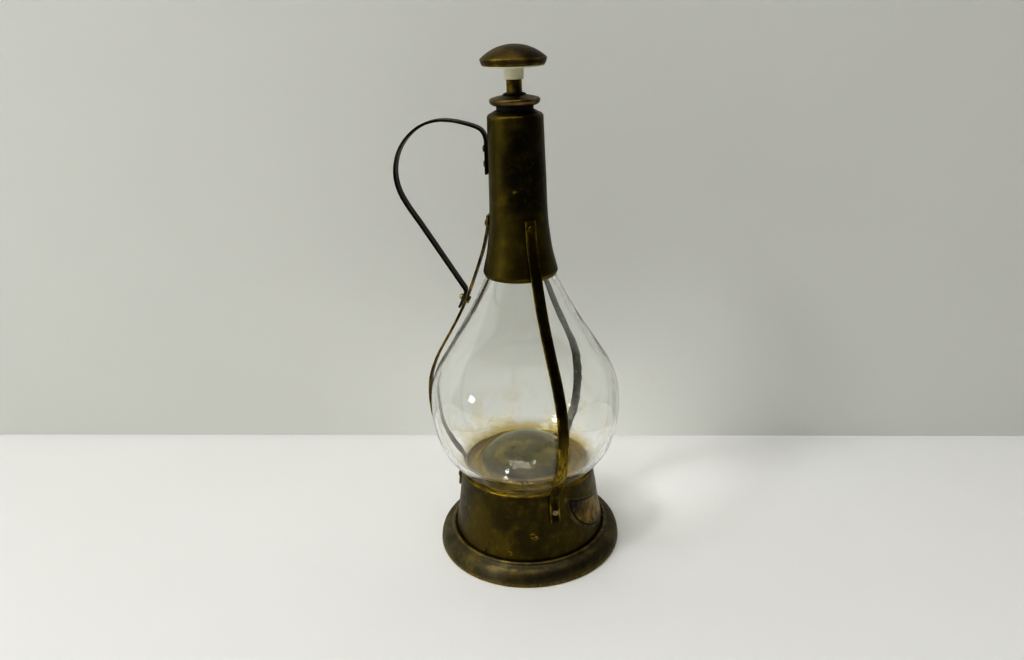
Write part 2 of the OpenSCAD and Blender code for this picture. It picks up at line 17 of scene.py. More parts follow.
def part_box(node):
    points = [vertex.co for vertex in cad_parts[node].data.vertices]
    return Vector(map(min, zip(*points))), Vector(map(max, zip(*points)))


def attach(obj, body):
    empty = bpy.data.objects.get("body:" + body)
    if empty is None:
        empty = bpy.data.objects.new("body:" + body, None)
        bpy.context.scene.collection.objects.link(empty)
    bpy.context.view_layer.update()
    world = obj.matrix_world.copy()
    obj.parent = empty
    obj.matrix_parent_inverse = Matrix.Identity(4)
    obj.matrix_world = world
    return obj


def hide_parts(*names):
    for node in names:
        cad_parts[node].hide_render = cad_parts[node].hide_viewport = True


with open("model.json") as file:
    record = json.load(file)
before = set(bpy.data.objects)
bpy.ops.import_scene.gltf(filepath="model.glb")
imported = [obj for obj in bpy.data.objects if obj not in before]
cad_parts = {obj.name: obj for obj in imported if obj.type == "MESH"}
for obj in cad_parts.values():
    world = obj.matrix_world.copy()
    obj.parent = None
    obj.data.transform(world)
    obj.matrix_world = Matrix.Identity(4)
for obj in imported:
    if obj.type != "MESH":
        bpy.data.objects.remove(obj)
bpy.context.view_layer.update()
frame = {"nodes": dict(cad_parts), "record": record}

MM = 0.001
NODES = frame["nodes"]
BODY_OF = {n: body for body, names in frame["record"]["behaviour"]["bodies"].items() for n in names}

# Vertices nearer to each other than this are one
WELD = 0.002 * MM
# A point of an outline nearer to the axis than this is on it
ON_AXIS = 0.01
# A sharper bend than this is a corner
CORNER = math.radians(28)
# Faces that meet more sharply than this are shaded with an edge between them
SHADING_ANGLE = math.radians(35)
# Steps round a turned piece
TURN_STEPS = 192

# Heights between which the flask's glass is uneven
WAVES_FOOT = 50
WAVES_TOP = 255
# The amber deposit in the trough round the flask's dome, partly a painted glow of the golden brass seen
# through the thick glass, is whole up to the first, and ends at the other
RESIDUE_AND_GLOW_WHOLE = 55
RESIDUE_AND_GLOW_TOP = 63
# The stain on the flask's inner wall, in the same way
STAIN_WHOLE = 58
STAIN_TOP = 92
# Lowest point of the flask's inner wall, a height just above its dome, and the dome's radius
INNER_WALL_FOOT = 56
ABOVE_DOME = 75
DOME_RADIUS = 30

# Width of the label's raised border
LABEL_BORDER = 1.7


# ---- Camera, lights and stage ----

# The camera, the lights and the wall have places in a frame of their own, which is turned by this
# much about the part's vertical axis
VIEW_TURN = Matrix.Rotation(math.radians(9.5), 3, "Z")
CAMERA_PLACE = Vector((0, -444.1, 315.18))
CAMERA_YAW = math.radians(-0.821)
CAMERA_PITCH = math.radians(21.27)
CAMERA_ROLL = math.radians(-2.304)
CAMERA_LENS = 28.12
WALL_PLACE = Vector((0, 127.2, 0))
WALL_TURN = math.radians(-4.1)
WALL_GAP = 1.0
WALL_HEIGHT = 1400
STAGE_REACH = 2500
LIGHT_AIM = Vector((0, 0, 0.12))


def add_camera():
    """Stands the camera in its place, and turns it by its yaw, its pitch and then its roll."""
    level = math.cos(CAMERA_PITCH)
    forward = Vector((math.sin(CAMERA_YAW) * level, math.cos(CAMERA_YAW) * level,
                      -math.sin(CAMERA_PITCH)))
    right = Vector((math.cos(CAMERA_YAW), -math.sin(CAMERA_YAW), 0))
    up = right.cross(forward)
    rolled_right = math.cos(CAMERA_ROLL) * right + math.sin(CAMERA_ROLL) * up
    rolled_up = rolled_right.cross(forward)
    turned = VIEW_TURN @ Matrix((rolled_right, rolled_up, -forward)).transposed()
    data = bpy.data.cameras.new("camera")
    data.lens = CAMERA_LENS
    data.sensor_width = 36
    data.clip_start = 0.01
    camera = bpy.data.objects.new("camera", data)
    camera.matrix_world = Matrix.Translation(VIEW_TURN @ CAMERA_PLACE * MM) @ turned.to_4x4()
    bpy.context.scene.collection.objects.link(camera)
    bpy.context.scene.camera = camera


def add_light(name, place, size, power, colour=(1, 1, 1), soft_edge=False):
    """A square soft light at a place in the view's frame, in metres, that faces the object."""
    data = bpy.data.lights.new(name, "AREA")
    data.size = size
    data.energy = power
    data.color = colour
    light = bpy.data.objects.new(name, data)
    light.location = VIEW_TURN @ Vector(place)
    if soft_edge:
        fade_out(data)
    aim = LIGHT_AIM - light.location
    light.rotation_mode = "QUATERNION"
    light.rotation_quaternion = aim.to_track_quat("-Z", "Y")
    bpy.context.scene.collection.objects.link(light)
    return light


def fade_out(data):
    """Fades a square light towards its edges, so that its reflections have no hard outline.

    Its own coordinates run from 0 to 1, so its middle is at 0.5 each way."""
    middle = 0.5
    edge_distance = 0.5
    core_distance = 0.05
    core_strength = 3.2
    data.use_nodes = True
    tree = data.node_tree
    panel = tree.nodes.new("ShaderNodeNewGeometry")
    apart = tree.nodes.new("ShaderNodeVectorMath")
    apart.operation = "DISTANCE"
    apart.inputs[1].default_value = (middle, middle, 0)
    fade = tree.nodes.new("ShaderNodeMapRange")
    fade.interpolation_type = "SMOOTHSTEP"
    fade.inputs["From Min"].default_value = edge_distance
    fade.inputs["From Max"].default_value = core_distance
    fade.inputs["To Max"].default_value = core_strength
    tree.links.new(panel.outputs["Parametric"], apart.inputs[0])
    tree.links.new(apart.outputs["Value"], fade.inputs["Value"])
    tree.links.new(fade.outputs["Result"], tree.nodes["Emission"].inputs["Strength"])


def add_room():
    """A dim room, which looks pale where it is seen directly or through the glass."""
    dim = 0.03
    pale = 0.5
    share_through_glass = 0.65
    world = bpy.data.worlds.new("studio")
    world.use_nodes = True
    tree = world.node_tree
    rays = tree.nodes.new("ShaderNodeLightPath")
    through_glass = tree.nodes.new("ShaderNodeMath")
    through_glass.operation = "MULTIPLY"
    through_glass.inputs[1].default_value = share_through_glass
    seen = tree.nodes.new("ShaderNodeMath")
    seen.operation = "MAXIMUM"
    strength = tree.nodes.new("ShaderNodeMapRange")
    strength.inputs["To Min"].default_value = dim
    strength.inputs["To Max"].default_value = pale
    background = tree.nodes["Background"]
    background.inputs["Color"].default_value = (0.97, 0.98, 0.95, 1)
    tree.links.new(rays.outputs["Is Camera Ray"], seen.inputs[0])
    tree.links.new(rays.outputs["Is Transmission Ray"], through_glass.inputs[0])
    tree.links.new(through_glass.outputs["Value"], seen.inputs[1])
    tree.links.new(seen.outputs["Value"], strength.inputs["Value"])
    tree.links.new(strength.outputs["Result"], background.inputs["Strength"])
    bpy.context.scene.world = world


def add_lights():
    """Lights the object, and returns the wide window and the small pane."""
    add_light("key_light", (-1.9, -1.0, 2.1), 0.4, 14)
    window = add_light("window_light", (-3.7, -1.3, 1.2), 4.2, 36, (0.98, 0.99, 0.98),
                       soft_edge=True)
    add_light("ceiling_light", (-0.4, 0.0, 2.6), 2.0, 46, (1.0, 0.99, 0.965))
    pane = add_light("pane_light", (-3.2, -1.15, 1.0), 0.4, 4.5, (0.74, 0.86, 1.0))
    # a small lamp under the pan, which only shows in views from below
    under = add_light("under_light", (0, 0, -0.06), 0.08, 0.06)
    under.visible_camera = False
    return window, pane


def link_light(light, piece, state):
    """Makes a light shine on one piece only (INCLUDE) or on all but that piece (EXCLUDE)."""
    lit = bpy.data.collections.new("reach_of_" + light.name)
    lit.objects.link(piece)
    lit.collection_objects[0].light_linking.link_state = state
    light.light_linking.receiver_collection = lit


def set_tones():
    """Sets how the picture's light is turned into tones."""
    settings = bpy.context.scene.view_settings
    settings.view_transform = "Standard"
    settings.look = "High Contrast"


def plane(name, corners, material):
    """A flat piece of the stage."""
    mesh = bpy.data.meshes.new(name)
    mesh.from_pydata([Vector(c) * MM for c in corners], [], [list(range(len(corners)))])
    mesh.materials.append(material)
    piece = bpy.data.objects.new(name, mesh)
    bpy.context.scene.collection.objects.link(piece)


def add_stage():
    corners = ((-1, -1), (1, -1), (1, 1), (-1, 1))
    floor = [(x * STAGE_REACH, y * STAGE_REACH, 0) for x, y in corners]
    plane("floor", floor, stage_look("floor_white", (0.77, 0.77, 0.755), lit_through=True))
    side = VIEW_TURN @ Vector((math.cos(WALL_TURN), math.sin(WALL_TURN), 0)) * STAGE_REACH
    foot = VIEW_TURN @ WALL_PLACE + Vector((0, 0, WALL_GAP))
    rise = Vector((0, 0, WALL_HEIGHT))
    wall = [foot - side, foot + side, foot + side + rise, foot - side + rise]
    plane("wall", wall, stage_look("wall_grey", (0.84, 0.845, 0.80)))


# ---- Node trees ----

class Look:
    """A material whose nodes are added one call at a time."""

    def __init__(self, name):
        self.material = bpy.data.materials.new(name)
        self.material.use_nodes = True
        self.tree = self.material.node_tree
        self.shader = self.tree.nodes["Principled BSDF"]
        place = self.tree.nodes.new("ShaderNodeTexCoord").outputs["Object"]
        scale = self.add("ShaderNodeVectorMath", operation="SCALE")
        self.link(place, scale.inputs[0])
        scale.inputs["Scale"].default_value = 1 / MM
        self.place = scale.outputs["Vector"]

    def add(self, kind, **settings):
        node = self.tree.nodes.new(kind)
        for key, value in settings.items():
            setattr(node, key, value)
        return node

    def link(self, source, target):
        self.tree.links.new(source, target)

    def set(self, **values):
        """Constants on the shader's own sockets; a name's underscores stand for spaces."""
        for key, value in values.items():
            self.shader.inputs[key.replace("_", " ")].default_value = value

    def drive(self, socket, source):
        self.link(source, self.shader.inputs[socket])

    def noise(self, size, stretch=(1, 1, 1), detail=3, roughness=0.55, shift=0):
        """Noise whose blotches are about size millimetres wide, times stretch along each axis."""
        mapping = self.add("ShaderNodeMapping")
        self.link(self.place, mapping.inputs["Vector"])
        mapping.inputs["Scale"].default_value = [1 / (size * s) for s in stretch]
        mapping.inputs["Location"].default_value = (shift, 2 * shift, 3 * shift)
        node = self.add("ShaderNodeTexNoise")
        self.link(mapping.outputs["Vector"], node.inputs["Vector"])
        node.inputs["Scale"].default_value = 1
        node.inputs["Detail"].default_value = detail
        node.inputs["Roughness"].default_value = roughness
        return node.outputs["Fac"]

    def spots(self, size, shift=0):
        """Distance to the nearest of scattered points about size millimetres apart."""
        mapping = self.add("ShaderNodeMapping")
        self.link(self.place, mapping.inputs["Vector"])
        mapping.inputs["Scale"].default_value = (1 / size, 1 / size, 1 / size)
        mapping.inputs["Location"].default_value = (shift, shift, shift)
        node = self.add("ShaderNodeTexVoronoi")
        self.link(mapping.outputs["Vector"], node.inputs["Vector"])
        node.inputs["Scale"].default_value = 1
        return node.outputs["Distance"]

    def attribute(self, name):
        return self.add("ShaderNodeAttribute", attribute_name=name).outputs["Fac"]

    def height(self):
        split = self.add("ShaderNodeSeparateXYZ")
        self.link(self.place, split.inputs[0])
        return split.outputs["Z"]

    def span(self, source, low, high, to_low=0.0, to_high=1.0):
        """source from low..high carried smoothly to to_low..to_high, and held outside."""
        node = self.add("ShaderNodeMapRange", interpolation_type="SMOOTHSTEP")
        self.link(source, node.inputs["Value"])
        node.inputs["From Min"].default_value = low
        node.inputs["From Max"].default_value = high
        node.inputs["To Min"].default_value = to_low
        node.inputs["To Max"].default_value = to_high
        return node.outputs["Result"]

    def near(self, place, whole, none):
        """1 within a distance of a place, falling to 0 further out, in millimetres."""
        apart = self.add("ShaderNodeVectorMath", operation="DISTANCE")
        self.link(self.place, apart.inputs[0])
        apart.inputs[1].default_value = place
        return self.span(apart.outputs["Value"], whole, none, 1, 0)

    def math(self, operation, first, second):
        node = self.add("ShaderNodeMath", operation=operation)
        for socket, value in zip(node.inputs, (first, second)):
            if isinstance(value, (int, float)):
                socket.default_value = value
            else:
                self.link(value, socket)
        return node.outputs["Value"]

    def mix(self, factor, first, second):
        """Colours first and second, mixed by a factor socket; either may be a socket."""
        node = self.add("ShaderNodeMix", data_type="RGBA")
        self.link(factor, node.inputs["Factor"])
        colours = [socket for socket in node.inputs if socket.type == "RGBA"]
        for socket, value in zip(colours, (first, second)):
            if isinstance(value, tuple):
                socket.default_value = (*value, 1)
            else:
                self.link(value, socket)
        return [socket for socket in node.outputs if socket.type == "RGBA"][0]

    def bump(self, heights, depth):
        """A bump of depth millimetres from a height socket."""
        node = self.add("ShaderNodeBump")
        self.link(heights, node.inputs["Height"])
        node.inputs["Strength"].default_value = 1
        node.inputs["Distance"].default_value = depth * MM
        self.drive("Normal", node.outputs["Normal"])


def stage_look(name, colour, lit_through=False):
    """A plain matt surface that is not seen from behind.

    A lamp behind it can shine through one that is lit_through."""
    look = Look(name)
    look.drive("Base Color", look.mix(look.noise(120), colour, tuple(c * 0.97 for c in colour)))
    look.set(Roughness=0.55, Specular_IOR_Level=0.3)
    see_through = look.add("ShaderNodeNewGeometry").outputs["Backfacing"]
    if lit_through:
        lamp_rays = look.add("ShaderNodeLightPath").outputs["Is Shadow Ray"]
        see_through = look.math("MAXIMUM", see_through, lamp_rays)
    clear = look.add("ShaderNodeBsdfTransparent").outputs["BSDF"]
    choice = look.add("ShaderNodeMixShader")
    look.link(see_through, choice.inputs[0])
    look.link(look.shader.outputs["BSDF"], choice.inputs[1])
    look.link(clear, choice.inputs[2])
    look.link(choice.outputs[0], look.tree.nodes["Material Output"].inputs["Surface"])
    return look.material


def aged_brass(name, dark, mid, gold, roughness=0.42, brushing=(3, 3, 0.12), shift=0.0, grime=0.3,
               marks=(), wear_and_sheen=None, wear_and_sheen_foot=(-2, -1)):
    """Brass with a brown lacquer that has gone blotchy, turning marks and golden worn edges.

    marks are the places of bare scratches, each with its size. polish is a pair of heights:
    the gold is whole below the first and gone above the second, and stands for worn lacquer and
    for painted sheen. wear_and_sheen_foot is the pair between which the gold fades out again further
    down."""
    look = Look(name)
    cloud = look.noise(30, (1, 1, 1.3), detail=2, shift=shift)
    mottle = look.noise(5, detail=5, roughness=0.7, shift=shift + 7)
    patches = look.noise(12, detail=3, shift=shift + 11)
    lines = look.noise(2.2, brushing, detail=4, roughness=0.6, shift=shift + 3)
    base = look.mix(look.span(cloud, 0.40, 0.62), dark, mid)
    base = look.mix(look.span(mottle, 0.50, 0.78, 0, grime), base, gold)
    base = look.mix(look.span(patches, 0.52, 0.75, 0, grime), base, gold)
    base = look.mix(look.span(lines, 0.5, 0.8, 0, grime), base, tuple(c * 0.4 for c in dark))
    specks = look.span(look.spots(9, shift), 0.025, 0.045, 1, 0)
    base = look.mix(specks, base, (0.006, 0.005, 0.003))
    rubbed_edges = look.math("MULTIPLY", look.span(mottle, 0.35, 0.6, 0.3, 1),
                             look.span(patches, 0.38, 0.62, 0.12, 1))
    wear_and_sheen_mask = look.math("MULTIPLY", look.attribute("edge"), rubbed_edges)
    for place, size in marks:
        near = look.near(place, size * 0.3, size)
        scuffed = look.span(look.noise(1.3, (2, 2, 0.6), detail=3, shift=shift), 0.47, 0.56)
        wear_and_sheen_mask = look.math("MAXIMUM", wear_and_sheen_mask, look.math("MULTIPLY", near, scuffed))
    # gold below a height: worn lacquer and painted sheen
    if wear_and_sheen:
        rubbed_and_sheen = look.math("MULTIPLY", look.span(look.height(), *wear_and_sheen, 1, 0),
                           look.span(look.height(), *wear_and_sheen_foot))
        streaky = look.span(lines, 0.36, 0.6, 0.1, 1)
        wear_and_sheen_mask = look.math("MAXIMUM", wear_and_sheen_mask, look.math("MULTIPLY", rubbed_and_sheen, streaky))
    base = look.mix(wear_and_sheen_mask, base, gold)
    look.drive("Base Color", base)
    rough = look.span(lines, 0.3, 0.75, roughness - 0.06, roughness + 0.10)
    rough = look.math("SUBTRACT", rough, look.math("MULTIPLY", wear_and_sheen_mask, 0.12))
    look.drive("Roughness", rough)
    look.set(Metallic=0.92)
    relief = look.math("ADD", look.math("MULTIPLY", lines, 0.5), look.math("MULTIPLY", mottle, 0.5))
    look.bump(relief, 0.03)
    return look.material


def clear_glass():
    """Old bottle glass, faintly green, with a film on its dome and a yellow-brown deposit low inside,
    which also paints in the glow of the golden brass seen through the thick glass.
    """
    look = Look("bottle_glass")
    clear = (0.985, 0.99, 0.98)
    stain = (0.93, 0.84, 0.62)
    olive = (0.050, 0.046, 0.006)
    tan = (0.15, 0.115, 0.018)
    # the amber is partly a painted glow: it stands in for the golden brass seen through the thick glass
    amber_and_brass_glow = (0.36, 0.24, 0.004)
    inner = look.attribute("inside")
    dome = look.attribute("dome")
    low = look.span(look.height(), STAIN_WHOLE, STAIN_TOP, 1, 0)
    blotch = look.span(look.noise(18, detail=4, shift=4.3), 0.46, 0.62)
    dirty = look.math("MULTIPLY", look.math("MULTIPLY", low, inner), blotch)
    thick = look.span(look.noise(9, detail=5, shift=8), 0.3, 0.7, 0.65, 0.95)
    # the amber in the trough is a deposit and a painted glow of the brass below
    deep = look.span(look.height(), RESIDUE_AND_GLOW_WHOLE, RESIDUE_AND_GLOW_TOP, 1, 0)
    trough = look.math("MULTIPLY", inner, deep)
    residue_and_glow = look.math("MULTIPLY", trough, look.span(look.noise(7, detail=3), 0.4, 0.65, 0.1, 0.4))
    coated = look.math("MULTIPLY", dome, thick)
    veil = look.math("MULTIPLY", dirty, 0.3)
    specks = look.math("MULTIPLY", inner, look.span(look.spots(19, 2), 0.018, 0.03, 0.7, 0))
    filmed = look.math("MAXIMUM", look.math("MAXIMUM", coated, residue_and_glow),
                       look.math("MAXIMUM", veil, specks))
    film = look.mix(look.span(look.noise(11, detail=2, shift=14), 0.3, 0.8), olive, tan)
    tinted = look.mix(trough, look.mix(dirty, clear, stain), amber_and_brass_glow)
    look.drive("Base Color", look.mix(look.span(coated, 0, 0.2), tinted, film))
    look.drive("Transmission Weight", look.math("SUBTRACT", 1.0, filmed))
    grime = look.span(look.noise(1.6, (1, 1, 2.2), detail=2, shift=9), 0.68, 0.75, 0.0, 0.25)
    haze = look.math("MULTIPLY", dome, 0.06)
    look.drive("Roughness", look.math("ADD", haze, look.math("MULTIPLY", grime, inner)))
    look.set(IOR=1.5)
    look.bump(look.noise(16, (1, 1, 1.8), detail=2, shift=5), 0.09)
    return look.material


def rubber():
    look = Look("black_rubber")
    fine = look.noise(0.8, detail=4)
    look.drive("Base Color", look.mix(fine, (0.004, 0.004, 0.004), (0.010, 0.010, 0.009)))
    look.drive("Roughness", look.span(fine, 0.3, 0.7, 0.5, 0.75))
    look.set(Specular_IOR_Level=0.3)
    look.bump(fine, 0.05)
    return look.material


def ivory():
    """Yellowed moulded plastic."""
    look = Look("ivory_plastic")
    cloud = look.noise(6, detail=4)
    look.drive("Base Color", look.mix(cloud, (0.80, 0.79, 0.64), (0.66, 0.63, 0.45)))
    look.drive("Roughness", look.span(look.noise(1.2), 0.3, 0.7, 0.3, 0.45))
    look.set(Subsurface_Weight=0.25, Subsurface_Radius=(0.003, 0.0025, 0.0015))
    look.bump(look.noise(2, (1, 1, 0.4)), 0.03)
    return look.material


def foil():
    """Stained gold foil with a black line inside its border and a worn, soiled field."""
    look = Look("foil_label")
    rim = look.attribute("rim_mm")
    cloud = look.noise(7, (1, 1, 1.8), detail=5, roughness=0.65, shift=2)
    streak = look.noise(2.4, (1, 1, 5), detail=4, shift=6)
    field = look.mix(look.span(cloud, 0.36, 0.60), (0.085, 0.050, 0.006), (0.30, 0.20, 0.028))
    field = look.mix(look.span(streak, 0.52, 0.72, 0, 0.7), field, (0.42, 0.30, 0.06))
    blots = look.span(look.noise(4.5, (1, 1, 1.6), detail=4, shift=12), 0.58, 0.68, 0, 0.8)
    for azimuth, height, size in ((47, 40, 13), (128, 26, 9)):
        place = on_wall("base_skirt", azimuth, height)
        soiled = look.math("MULTIPLY", look.near(place, size * 0.3, size),
                           look.span(look.noise(3, detail=4, shift=18), 0.3, 0.5, 0.3, 1))
        blots = look.math("MAXIMUM", blots, soiled)
    field = look.mix(blots, field, (0.022, 0.015, 0.006))
    border = look.mix(look.span(cloud, 0.4, 0.65), (0.06, 0.047, 0.014), (0.17, 0.13, 0.04))
    inside = look.span(rim, LABEL_BORDER + 0.6, LABEL_BORDER + 0.9)
    line = look.math("MULTIPLY", look.span(rim, LABEL_BORDER + 0.05, LABEL_BORDER + 0.25),
                     look.span(rim, LABEL_BORDER + 0.95, LABEL_BORDER + 1.15, 1, 0))
    base = look.mix(inside, border, field)
    look.drive("Base Color", look.mix(line, base, (0.004, 0.004, 0.004)))
    look.drive("Roughness", look.span(streak, 0.35, 0.7, 0.32, 0.55))
    look.drive("Metallic", look.span(rim, LABEL_BORDER + 0.6, LABEL_BORDER + 0.9, 0.85, 0.6))
    look.bump(look.noise(1.1, detail=4), 0.05)
    return look.material


def plain_metal(name, light, dark, roughness, shift=0.0):
    """Steel, cast zinc or turned brass with faint tool marks and tarnish."""
    look = Look(name)
    tarnish = look.noise(5, detail=5, roughness=0.65, shift=shift)
    marks = look.noise(1.4, (6, 1, 1), detail=3, shift=shift + 2)
    look.drive("Base Color", look.mix(look.span(tarnish, 0.35, 0.7), light, dark))
    look.drive("Roughness", look.span(marks, 0.3, 0.7, roughness - 0.06, roughness + 0.12))
    look.set(Metallic=1.0)
    look.bump(marks, 0.03)
    return look.material


# ---- Reading shapes from the frame ----

def welded(node):
    """A node's mesh with its doubled vertices joined."""
    bm = bmesh.new()
    bm.from_mesh(NODES[node].data)
    bmesh.ops.remove_doubles(bm, verts=bm.verts, dist=WELD)
    bm.verts.index_update()
    bm.verts.ensure_lookup_table()
    return bm


def chains(edges):
    """The separate open or closed chains of edges, each as its vertices in order."""
    links = {}
    for edge in edges:
        first, second = edge.verts
        links.setdefault(first, []).append(second)
        links.setdefault(second, []).append(first)
    left = sorted(links, key=lambda vert: (len(links[vert]), vert.index))
    seen = set()
    found = []
    for start in left:
        path = []
        onward = [start] if start not in seen else []
        while onward:
            path.append(onward[0])
            seen.add(onward[0])
            onward = [v for v in links[path[-1]] if v not in seen]
        if path:
            found.append(path)
    return found


def signed_area(points):
    """The area within a flat outline, negative where it runs clockwise."""
    return sum(a.x * b.y - b.x * a.y for a, b in zip(points, points[1:] + points[:1])) / 2


def outline_of(node):
    """A turned node's outline in its +X half-plane, as (radius, height), and if it is a loop.

    It runs so that the material is on its left."""
    bm = welded(node)
    seam = {v for v in bm.verts if abs(v.co.y) < WELD and v.co.x > -WELD}
    points = [Vector((v.co.x, v.co.z)) / MM
              for v in chains([e for e in bm.edges if seam.issuperset(e.verts)])[0]]
    bm.free()
    if signed_area(points) < 0:
        points.reverse()
    closed = min(points[0].x, points[-1].x) > ON_AXIS
    if not closed and points[0].x > ON_AXIS:
        points.insert(0, Vector((0, points[0].y)))
    if not closed and points[-1].x > ON_AXIS:
        points.append(Vector((0, points[-1].y)))
    return points, closed


def softened(points, closed, radius):
    """The outline with each sharp corner rounded."""
    steps = 4
    result = []
    for i, point in enumerate(points):
        before = point - points[i - 1]
        after = points[(i + 1) % len(points)] - point
        if (not closed and i in (0, len(points) - 1)) or before.angle(after) < CORNER:
            result.append(point)
            continue
        reach = min(radius, 0.45 * before.length, 0.45 * after.length)
        start = point - before.normalized() * reach
        end = point + after.normalized() * reach
        for k in range(steps + 1):
            t = k / steps
            result.append(start * (1 - t) ** 2 + point * 2 * t * (1 - t) + end * t * t)
    return result


def edge_wear(points, closed):
    """How strongly each point lies on an outer corner, from 0 to 1."""
    reach = 1.1
    full_turn = math.radians(55)
    nearby = 8
    count = len(points)
    turns = [0.0] * count
    for i in range(count):
        if closed or 0 < i < count - 1:
            before = points[i] - points[i - 1]
            after = points[(i + 1) % count] - points[i]
            if before.length > 0 and after.length > 0:
                turns[i] = -before.angle_signed(after)
    wear = []
    for i, point in enumerate(points):
        total = sum(turns[j] * max(0, 1 - (points[j] - point).length / reach)
                    for j in range(max(0, i - nearby), min(count, i + nearby + 1)))
        wear.append(min(1, max(0, total / full_turn)))
    return wear


# ---- Making pieces ----

def add_piece(name, bm, material, node):
    """Makes an object from bm that stands for a CAD node, and rides where it rides."""
    bmesh.ops.recalc_face_normals(bm, faces=bm.faces)
    mesh = bpy.data.meshes.new(name)
    bm.to_mesh(mesh)
    bm.free()
    mesh.materials.append(material)
    piece = bpy.data.objects.new(name, mesh)
    bpy.context.scene.collection.objects.link(piece)
    mesh.polygons.foreach_set("use_smooth", [True] * len(mesh.polygons))
    mesh.set_sharp_from_angle(angle=SHADING_ANGLE)
    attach(piece, BODY_OF[node])
    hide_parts(node)
    return piece


def outward(points, closed):
    """The normal at each point of an outline."""
    count = len(points)
    normals = []
    for i in range(count):
        ahead = points[(i + 1) % count] if closed else points[min(i + 1, count - 1)]
        behind = points[i - 1] if closed else points[max(i - 1, 0)]
        along = (ahead - behind).normalized()
        normals.append(Vector((along.y, -along.x)))
    return normals


def turned(node, name, material, shape=None, corner=0.18, marks=None):
    """A node spun again from its outline.

    shape(place, normal) is a push along the normal, and marks holds further vertex attributes,
    each a function of the outline's point and normal."""
    points, closed = outline_of(node)
    points = softened(points, closed, corner)
    bm = bmesh.new()
    edge_layer = bm.verts.layers.float.new("edge")
    layers = {key: bm.verts.layers.float.new(key) for key in marks or {}}
    rings = []
    for point, normal, worn in zip(points, outward(points, closed), edge_wear(points, closed)):
        ring = []
        for j in range(1 if point.x < ON_AXIS else TURN_STEPS):
            angle = 2 * math.pi * j / TURN_STEPS
            out = Vector((math.cos(angle), math.sin(angle), 0))
            place = out * point.x + Vector((0, 0, point.y))
            normal_3d = out * normal.x + Vector((0, 0, normal.y))
            if shape:
                place += normal_3d * shape(place, normal_3d)
            vert = bm.verts.new(place * MM)
            vert[edge_layer] = worn
            for key, layer in layers.items():
                vert[layer] = float(marks[key](point, normal))
            ring.append(vert)
        rings.append(ring)
    for low, high in zip(rings, rings[1:] + rings[:1] if closed else rings[1:]):
        for j in range(TURN_STEPS):
            k = (j + 1) % TURN_STEPS
            # a ring on the axis is a single vertex, which is then taken once
            corners = [low[j % len(low)], low[k % len(low)], high[k % len(high)], high[j % len(high)]]
            bm.faces.new(list(dict.fromkeys(corners)))
    return add_piece(name, bm, material, node)


def heading_of(node):
    """The direction, about Z, of the plane that a strip stands in."""
    low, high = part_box(node)
    centre = (low + high) / 2
    return math.atan2(centre.y, centre.x)


def strip_path(node):
    """A bent strip's middle line in its own plane, as (radius, height), its width and thickness."""
    bm = welded(node)
    bmesh.ops.rotate(bm, verts=bm.verts, matrix=Matrix.Rotation(-heading_of(node), 3, "Z"))
    half = max(v.co.y for v in bm.verts)
    nearly = WELD * 5
    right_angle = math.radians(80)
    side = {v for v in bm.verts if v.co.y > half - nearly}
    rim = [e for e in bm.edges if side.issuperset(e.verts)
           and sum(side.issuperset(f.verts) for f in e.link_faces) == 1]
    loop = [Vector((v.co.x, v.co.z)) / MM for v in chains(rim)[0]]
    bm.free()
    count = len(loop)
    corners = [i for i in range(count)
               if (loop[i] - loop[i - 1]).angle(loop[(i + 1) % count] - loop[i]) > right_angle]
    a, b, c, d = corners
    one = loop[a:b + 1]
    other = loop[c:d + 1]
    if (loop[a] - loop[b]).length < (loop[b] - loop[c]).length:
        one = loop[b:c + 1]
        other = loop[d:] + loop[:a + 1]
    other.reverse()
    middle = [(p + q) / 2 for p, q in zip(one, other)]
    if middle[0].y < middle[-1].y:
        middle.reverse()
    return middle, 2 * half / MM, (one[0] - other[0]).length


def resampled(points, step, passes):
    """The path at even steps, with its bends eased."""
    result = [points[0]]
    for a, b in zip(points, points[1:]):
        pieces = max(1, round((b - a).length / step))
        result += [a.lerp(b, k / pieces) for k in range(1, pieces + 1)]
    for _ in range(passes):
        result = ([result[0]] + [(a + 2 * b + c) / 4 for a, b, c in zip(result, result[1:], result[2:])]
                  + [result[-1]])
    return result


def strip_section(width, thickness, corner):
    """A rounded bar section as (across, through, edge) points."""
    half_t = thickness / 2
    flat = width / 2 - corner
    worn_width = 1.0
    flat_steps = 8
    turn_steps = 8
    points = []
    for side in (1, -1):
        for k in range(flat_steps + 1):
            across = side * flat * (1 - 2 * k / flat_steps)
            edge = max(0, 1 - (flat - abs(across)) / worn_width)
            points.append((across, side * half_t, edge))
        for k in (1, 2, 3, 5, 6, 7):
            angle = math.pi * k / turn_steps
            centre = half_t - corner if 2 * k < turn_steps else corner - half_t
            points.append((-side * (flat + corner * math.sin(angle)),
                           side * (centre + corner * math.cos(angle)), 1.0))
    return points


def wear_in(place, edge):
    """How far dings push a strip's surface in, and nicks its edges."""
    ding = noise.noise(place / 3.5) * 0.05 + noise.noise(place / 14) * 0.05
    nick = max(0, noise.noise(place / 1.3 + Vector((7, 7, 7))) - 0.25) * 0.25 * edge
    return nick + max(0, ding)


